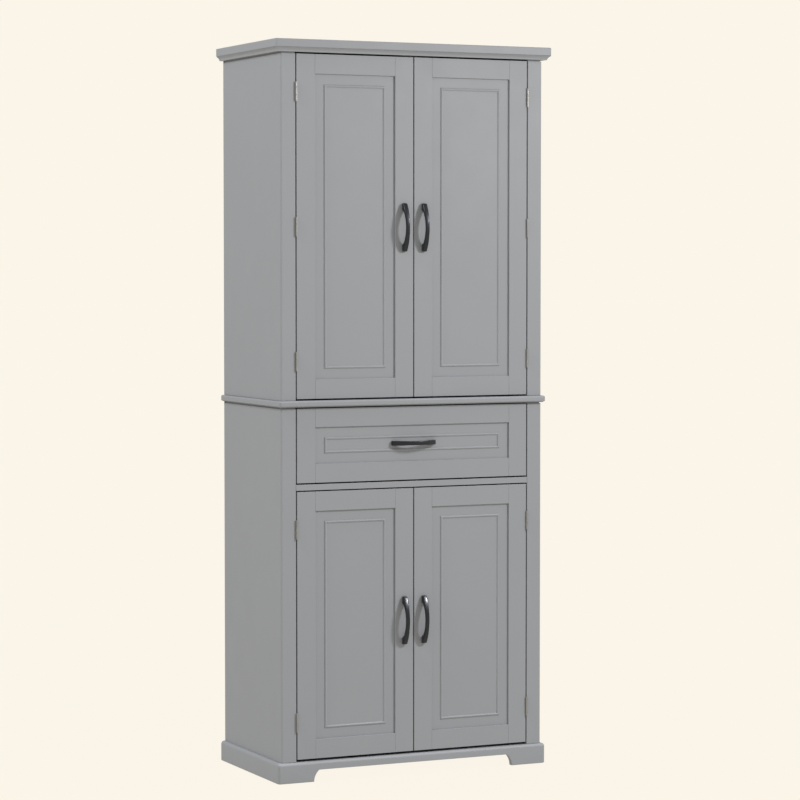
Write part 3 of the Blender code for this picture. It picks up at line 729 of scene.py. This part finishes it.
def make_panel(front, body):
    """The sunk panel, with its bead mitred round the field."""
    node = f"{front}_panel"
    low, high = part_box(node)

    def ring(inset, y):
        """An upright rectangle at a depth, inset from the panel's edges."""
        x0, x1 = low.x + inset, high.x - inset
        z0, z1 = low.z + inset, high.z - inset
        return [Vector((x0, y, z0)), Vector((x1, y, z0)), Vector((x1, y, z1)), Vector((x0, y, z1))]

    rings = [ring(0, PANEL_BACK_Y), ring(0, PANEL_FACE_Y)]
    rings += [ring(TONGUE - FIT + inset, PANEL_FACE_Y - rise) for inset, rise in bead_profile()]
    piece(f"{node}_beaded", loft(bmesh.new(), rings), paint, body, [node],
          PANEL_SMOOTH_ANGLE)


# ---------------------------------------------------------------- handles

def bow(reach, span, height):
    """Distance from the foot plane of a bow that would meet it at the ends of its span."""
    return reach * (1 - (2 * height / span) ** 2)


def smoothstep(value, start, end):
    """0 before start, 1 after end, and an S-curve between."""
    share = min(max((value - start) / (end - start), 0), 1)
    return share * share * (3 - 2 * share)


def rounded_rectangle(x0, x1, y0, y1, radius):
    """Points round a rectangle, its corners kept clear of each other."""
    radius = min(radius, (x1 - x0) / 2.01, (y1 - y0) / 2.01)
    corners = ((x1 - radius, y1 - radius, 0), (x0 + radius, y1 - radius, 90),
               (x0 + radius, y0 + radius, 180), (x1 - radius, y0 + radius, 270))
    points = []
    for x, y, start in corners:
        points += arc((x, y), (radius, radius), start, start + 90, HANDLE_EDGE_STEPS)
    return points


def handle_section(height, end, reach):
    """A handle's outline, as (across, out) points, at a height from its middle."""
    foot = end - HANDLE_FOOT_LENGTH
    beyond = max(height - (end - HANDLE_END_RADIUS), 0)
    rounding = HANDLE_END_RADIUS - math.sqrt(max(HANDLE_END_RADIUS ** 2 - beyond ** 2, 0))
    outer = bow(reach, HANDLE_OUTER_SPAN, height) - rounding
    inner = bow(reach - HANDLE_THICK, HANDLE_INNER_SPAN, min(height, foot))
    inner *= 1 - smoothstep(height, foot - HANDLE_FOOT_SLOPE, foot)
    swell = smoothstep(height, end * HANDLE_SWELL_START, foot)
    width = HANDLE_WIDE + (HANDLE_FOOT_WIDE - HANDLE_WIDE) * swell
    half_width = width / 2 - rounding * HANDLE_END_TAPER
    return rounded_rectangle(-half_width, half_width, inner, outer, HANDLE_EDGE_RADIUS)


def make_handle(node, body, along_axis, foot_y):
    """A bow handle on two solid feet. Gives back the middles of its two screws."""
    low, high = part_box(node)
    centre = (low + high) / 2
    end = (high - low).dot(along_axis) / 2
    across_axis = X if along_axis == Z else Z
    rings = []
    for i in range(HANDLE_STEPS + 1):
        height = -end * math.cos(math.pi * i / HANDLE_STEPS)
        ring = []
        for across, out in handle_section(abs(height), end, foot_y - low.y):
            point = centre + along_axis * height + across_axis * across
            ring.append(Vector((point.x, foot_y - out, point.z)))
        rings.append(ring)
    piece(f"{node}_bow", loft(bmesh.new(), rings), black_bronze, body, [node],
          HANDLE_SMOOTH_ANGLE)
    return [centre + along_axis * (end - HANDLE_SCREW_INSET) * side for side in SIDES.values()]


def make_handle_screws(name, body, places, back_y):
    """The heads of the two screws that hold a handle, on the back of its front."""
    bm = bmesh.new()
    for place in places:
        screw(bm, Vector((place.x, back_y, place.z)), Y, **HANDLE_SCREW)
    piece(name, bm, screw_steel, body)


# ---------------------------------------------------------------- hinges

def leaf_plate(bm, pin, side, depth, half):
    """A thin plate beside the pin, its far corners rounded."""
    end = depth - LEAF_CORNER
    top = arc((end, half - LEAF_CORNER), (LEAF_CORNER, LEAF_CORNER), 90, 0, LEAF_CORNER_STEPS)
    outline = [(LEAF_START, half), *top]
    outline += [(y, -z) for y, z in reversed(outline)]
    prism(bm, outline, LEAF_NEAR, LEAF_FAR, lambda u, v, w: pin + Vector((side * w, u, v)))


def knuckle(bm, pin, side, low, high):
    """A knuckle rolled round the pin, with the neck that joins it to its plate."""
    radius = KNUCKLE_RADIUS
    start = math.degrees(math.acos(LEAF_FAR / radius))
    end = math.degrees(math.acos(LEAF_NEAR / radius))
    roll = arc((0, 0), (radius, radius), start, end - 360, KNUCKLE_STEPS)
    outline = [(LEAF_FAR, LEAF_START + FIT), *roll, (LEAF_NEAR, LEAF_START + FIT)]
    prism(bm, outline, low, high, lambda u, v, w: pin + Vector((side * u, v, w)))


def make_leaf(name, pin, side, body, depth, half, spans):
    """One leaf of a hinge, its knuckles at the heights in spans, with its two screws."""
    bm = bmesh.new()
    leaf_plate(bm, pin, side, depth, half)
    for bottom, top in spans:
        knuckle(bm, pin, side, bottom, top)
    obj = piece(f"{name}_pressed", bm, nickel, body, [name])
    soften(obj, LEAF_SOFTENING, PRESSED)
    bm = bmesh.new()
    for height in (-half * LEAF_SCREW_SHARE, half * LEAF_SCREW_SHARE):
        seat = pin + Vector((side * LEAF_NEAR, depth - LEAF_SCREW_INSET, height))
        screw(bm, seat, -X * side, **LEAF_SCREW)
    piece(f"{name}_screws", bm, screw_steel, body)


def make_hinge(name, door, side):
    """A butt hinge: two pressed leaves with rolled knuckles, screws, and the tips of its pin."""
    low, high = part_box(f"{name}_frame_leaf")
    door_low, door_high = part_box(f"{door}_frame")
    door_edge = door_high.x if side > 0 else door_low.x
    middle = (low.z + high.z) / 2
    pin = Vector((door_edge + side * PIN_BESIDE_FRONT, FACE_Y - PIN_FORWARD, middle))
    depth = high.y - pin.y
    half = (high.z - low.z) / 2
    third = half / 3
    outer, inner = [(-half, -third), (third, half)], [(-third + FIT, third - FIT)]
    make_leaf(f"{name}_frame_leaf", pin, side, "cabinet", depth, half, outer)
    make_leaf(f"{name}_door_leaf", pin, -side, door, depth, half, inner)
    dome = arc((0, PIN_TIP_BASE), (PIN_TIP_RADIUS, PIN_TIP_DOME), 0, 80, LEAF_CORNER_STEPS)
    bm = bmesh.new()
    for end in (-1, 1):
        matrix = facing(pin + Z * end * (half - PIN_TIP_INSET), Z * end)
        turned(bm, [(PIN_TIP_RADIUS, 0), *dome], matrix)
    piece(f"{name}_pin_tips", bm, screw_steel, "cabinet")


for unit, levels in HINGES.items():
    for word, side in SIDES.items():
        door = f"{unit}_door_{word}"
        make_frame(door, door)
        make_panel(door, door)
        feet = make_handle(f"{door}_handle", door, Z, FACE_Y)
        make_handle_screws(f"{door}_handle_screws", door, feet, DOOR_BACK_Y)
        for level in levels:
            make_hinge(f"hinge_{unit}_{word}_{level}", door, side)

make_frame("drawer_front", "drawer")
make_panel("drawer_front", "drawer")
feet = make_handle("drawer_handle", "drawer", X, PANEL_FACE_Y)
make_handle_screws("drawer_handle_screws", "drawer", feet, PANEL_BACK_Y)


# ---------------------------------------------------------------- runners' rollers and screws

ROLLER_RADIUS = 8 * MM
ROLLER_WIDTH = 5.6 * MM
ROLLER_INSET = 12 * MM
ROLLER_ROUNDING = 0.7 * MM
ROLLER_DISH = 0.8 * MM
ROLLER_SIDES = 48
RIVET_LIFT = 0.2 * MM
RIVET_SEAT = 0.79 * MM

# Shares of the roller's radius, from its axle out
RIVET_TIP, RIVET_HEAD, RIVET_BODY = 0.2, 0.36, 0.4
DISH_HUB, DISH_EDGE, RIM = 0.45, 0.75, 0.82

RUNNER_SHEET = 1.2 * MM
TRACK_GAP = 1.5 * MM
WEB_GAP = 2 * MM
RUNNER_SCREW_SHARES = (0.2, 0.5, 0.8)
SLIDER_SCREW_SHIFT = 0.08
SLIDER_SCREW_DROP = 3 * MM
RUNNER_SCREW = {"radius": 3.4 * MM, "height": 1 * MM}
SLIDER_SCREW = {"radius": 3 * MM, "height": 0.8 * MM}


def make_roller(name, body, place, outward):
    """A nylon wheel, dished on both sides, on a riveted axle; place is on its inner face."""
    radius, width = ROLLER_RADIUS, ROLLER_WIDTH
    matrix = facing(place, outward)
    inner_half = [(radius * DISH_HUB, ROLLER_DISH), (radius * DISH_EDGE, ROLLER_DISH),
                  (radius * RIM, 0), (radius - ROLLER_ROUNDING, 0), (radius, ROLLER_ROUNDING)]
    wheel = inner_half + [(r, width - level) for r, level in reversed(inner_half)]
    piece(name, turned(bmesh.new(), wheel, matrix, ROLLER_SIDES), nylon, body)
    axle = [(radius * RIVET_BODY, RIVET_LIFT), (radius * RIVET_BODY, RIVET_SEAT)]
    head = [(radius * RIVET_BODY, width - RIVET_SEAT), (radius * RIVET_HEAD, width - RIVET_LIFT),
            (radius * RIVET_TIP, width)]
    rivet = turned(turned(bmesh.new(), axle, matrix), head, matrix)
    piece(f"{name}_axle", rivet, screw_steel, body)


def make_runner_hardware(word, side):
    """A roller at the front of the fixed runner, one at the back of the slider, and screws."""
    low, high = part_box(f"runner_cabinet_{word}")
    slider_low, slider_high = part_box(f"runner_drawer_{word}")
    web = max(abs(low.x), abs(high.x)) - RUNNER_SHEET
    slider_face = min(abs(slider_low.x), abs(slider_high.x)) + RUNNER_SHEET
    outward = X * side
    axle_z = slider_high.z - TRACK_GAP - ROLLER_RADIUS
    place = Vector((side * (web - WEB_GAP - ROLLER_WIDTH), low.y + ROLLER_INSET, axle_z))
    make_roller(f"runner_roller_front_{word}", "cabinet", place, outward)
    axle_z = low.z + TRACK_GAP + ROLLER_RADIUS
    place = Vector((side * (slider_face + TRACK_GAP), slider_high.y - ROLLER_INSET, axle_z))
    make_roller(f"runner_roller_rear_{word}", "drawer", place, outward)
    length = high.y - low.y
    web_z = (low.z + high.z) / 2
    slider_z = (slider_low.z + slider_high.z) / 2 - SLIDER_SCREW_DROP
    fixed, moving = bmesh.new(), bmesh.new()
    for share in RUNNER_SCREW_SHARES:
        y = low.y + length * share
        screw(fixed, Vector((side * web, y, web_z)), -outward, **RUNNER_SCREW)
        y = slider_low.y + length * (share - SLIDER_SCREW_SHIFT)
        screw(moving, Vector((side * slider_face, y, slider_z)), outward, **SLIDER_SCREW)
    piece(f"runner_screws_cabinet_{word}", fixed, screw_steel, "cabinet")
    piece(f"runner_screws_drawer_{word}", moving, screw_steel, "drawer")


for word, side in SIDES.items():
    make_runner_hardware(word, side)


# ---------------------------------------------------------------- catches, strike plates and nails

# A double magnetic catch behind each pair of doors, with heights counted down from their tops
CATCH_HALF = 23 * MM
CATCH_DEPTH = 13 * MM
CATCH_GAP = 1.2 * MM
CATCH_DROP = 16 * MM
CATCH_ROUNDING = 1.2 * MM
POLE_PLACES = (-7 * MM, 4 * MM)
POLE_SIZE = 3 * MM
POLE_PROUD = 0.3 * MM
POLE_DEPTH = 2 * MM
STRIKE_X = 13 * MM
STRIKE_DROP = 8.5 * MM
STRIKE_THICKNESS = 0.6 * MM
STRIKE_PROFILE = ((6.5 * MM, -0.1 * MM), (6.5 * MM, 0.4 * MM), (6 * MM, STRIKE_THICKNESS))
STRIKE_SIDES = 40
STRIKE_SCREW = {"radius": 2.4 * MM, "height": 0.2 * MM}

NAIL_INSET = 7 * MM
NAIL_COLUMNS = 6
NAIL_ROWS = 7
NAIL_PROFILE = ((2.6 * MM, -0.1 * MM), (2.6 * MM, 0.08 * MM), (1.8 * MM, 0.2 * MM),
                (0.6 * MM, 0.25 * MM))
NAIL_SIDES = 20


def make_catch(unit, ceiling, door_top):
    """A catch's housing and poles, and a strike plate on each door."""
    front = DOOR_BACK_Y + CATCH_GAP
    bottom = door_top - CATCH_DROP
    near = (-CATCH_HALF, front, bottom)
    far = (CATCH_HALF, front + CATCH_DEPTH, ceiling - FIT)
    housing = add_cuboid(bmesh.new(), near, far)
    obj = piece(f"catch_{unit}_housing", housing, catch_plastic, "cabinet")
    soften(obj, CATCH_ROUNDING)
    poles = bmesh.new()
    for side in SIDES.values():
        for shift in POLE_PLACES:
            x = side * STRIKE_X + shift
            near = (x, front - POLE_PROUD, bottom + POLE_SIZE)
            add_cuboid(poles, near, (x + POLE_SIZE, front + POLE_DEPTH, door_top - POLE_SIZE))
    piece(f"catch_{unit}_poles", poles, screw_steel, "cabinet")
    for word, side in SIDES.items():
        place = Vector((side * STRIKE_X, DOOR_BACK_Y, door_top - STRIKE_DROP))
        plate = turned(bmesh.new(), STRIKE_PROFILE, facing(place, Y), STRIKE_SIDES)
        screw(plate, place + Y * STRIKE_THICKNESS, Y, **STRIKE_SCREW)
        piece(f"catch_{unit}_strike_{word}", plate, nickel, f"{unit}_door_{word}")


def make_back_nails(unit):
    """Small flat nails round the edges of a back panel."""
    low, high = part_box(f"{unit}_back_panel")
    width, height = high.x - low.x - 2 * NAIL_INSET, high.z - low.z - 2 * NAIL_INSET
    bm = bmesh.new()
    for i in range(NAIL_COLUMNS + 1):
        for j in range(NAIL_ROWS + 1):
            if 0 < i < NAIL_COLUMNS and 0 < j < NAIL_ROWS:
                continue
            x = low.x + NAIL_INSET + width * i / NAIL_COLUMNS
            z = low.z + NAIL_INSET + height * j / NAIL_ROWS
            turned(bm, NAIL_PROFILE, facing(Vector((x, high.y, z)), Y), NAIL_SIDES)
    piece(f"{unit}_back_nails", bm, screw_steel, "cabinet")


make_catch("upper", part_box("top_panel")[0].z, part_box("upper_door_left_frame")[1].z)
make_catch("lower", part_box("drawer_divider")[0].z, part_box("lower_door_left_frame")[1].z)
for unit in HINGES:
    make_back_nails(unit)


# ---------------------------------------------------------------- stage, camera and lights

def make_floor():
    """A plain pale floor that meets the horizon and glows, most of all to the viewer."""
    nodes = Nodes("Pale floor")
    tone = nodes.blend(nodes.remap(nodes.noise(2), 0, 1), FLOOR_TONE, scaled(FLOOR_TONE, 1.01))
    lit = [part * world * WORLD_STRENGTH for part, world in zip(FLOOR_TONE, WORLD_TONE)]
    glow = [seen - part for seen, part in zip(BACKGROUND, lit)]
    to_viewer = nodes.add("ShaderNodeLightPath").outputs["Is Camera Ray"]
    strength = nodes.add("ShaderNodeMapRange", Value=to_viewer, To_Min=FLOOR_GLOW, To_Max=1)
    material = nodes.finish(tone, nodes.remap(nodes.noise(4), 0.85, 0.95), Specular_IOR_Level=0,
                            Emission_Color=(*glow, 1), Emission_Strength=strength.outputs["Result"])
    bm = bmesh.new()
    bmesh.ops.create_grid(bm, x_segments=1, y_segments=1, size=FLOOR_REACH)
    floor = bpy.data.objects.new("floor", mesh_of("floor", bm))
    floor.data.materials.append(material)
    bpy.context.scene.collection.objects.link(floor)
    return floor


def make_camera():
    camera = bpy.data.objects.new("camera", bpy.data.cameras.new("camera"))
    bpy.context.scene.collection.objects.link(camera)
    camera.data.lens = CAMERA_LENS
    camera.data.sensor_width = SENSOR_WIDTH
    camera.location = CAMERA_PLACE + Y * FACE_Y
    camera.rotation_euler = CAMERA_AIM.to_track_quat("-Z", "Y").to_euler()
    bpy.context.scene.camera = camera


def ball_light(name, place, radius, power, not_on):
    """A round soft light, as bright far off as near by, that leaves the floor evenly pale."""
    light = bpy.data.lights.new(name, "POINT")
    light.shadow_soft_size = radius
    light.energy = power
    light.use_nodes = True
    falloff = light.node_tree.nodes.new("ShaderNodeLightFalloff")
    falloff.inputs["Strength"].default_value = 1
    emission = light.node_tree.nodes["Emission"]
    light.node_tree.links.new(falloff.outputs["Constant"], emission.inputs["Strength"])
    obj = bpy.data.objects.new(name, light)
    bpy.context.scene.collection.objects.link(obj)
    obj.location = place
    left_out = bpy.data.collections.new(f"{name}_left_out")
    left_out.objects.link(not_on)
    left_out.collection_objects[0].light_linking.link_state = "EXCLUDE"
    obj.light_linking.receiver_collection = left_out


def make_lights(floor):
    """A key and a fill light, and a world that shows the background's own colour to the viewer."""
    ball_light("key", KEY_PLACE, KEY_RADIUS, KEY_POWER, floor)
    ball_light("side_fill", FILL_PLACE, FILL_RADIUS, FILL_POWER, floor)
    world = bpy.data.worlds.new("Studio")
    bpy.context.scene.world = world
    world.use_nodes = True
    tree = world.node_tree
    lit = tree.nodes["Background"]
    lit.inputs["Color"].default_value = (*WORLD_TONE, 1)
    lit.inputs["Strength"].default_value = WORLD_STRENGTH
    seen = tree.nodes.new("ShaderNodeBackground")
    seen.inputs["Color"].default_value = (*BACKGROUND, 1)
    path = tree.nodes.new("ShaderNodeLightPath")
    mix = tree.nodes.new("ShaderNodeMixShader")
    tree.links.new(path.outputs["Is Camera Ray"], mix.inputs["Fac"])
    tree.links.new(lit.outputs["Background"], mix.inputs[1])
    tree.links.new(seen.outputs["Background"], mix.inputs[2])
    tree.links.new(mix.outputs["Shader"], tree.nodes["World Output"].inputs["Surface"])


make_lights(make_floor())
make_camera()
bpy.context.scene.view_settings.view_transform = "Standard"
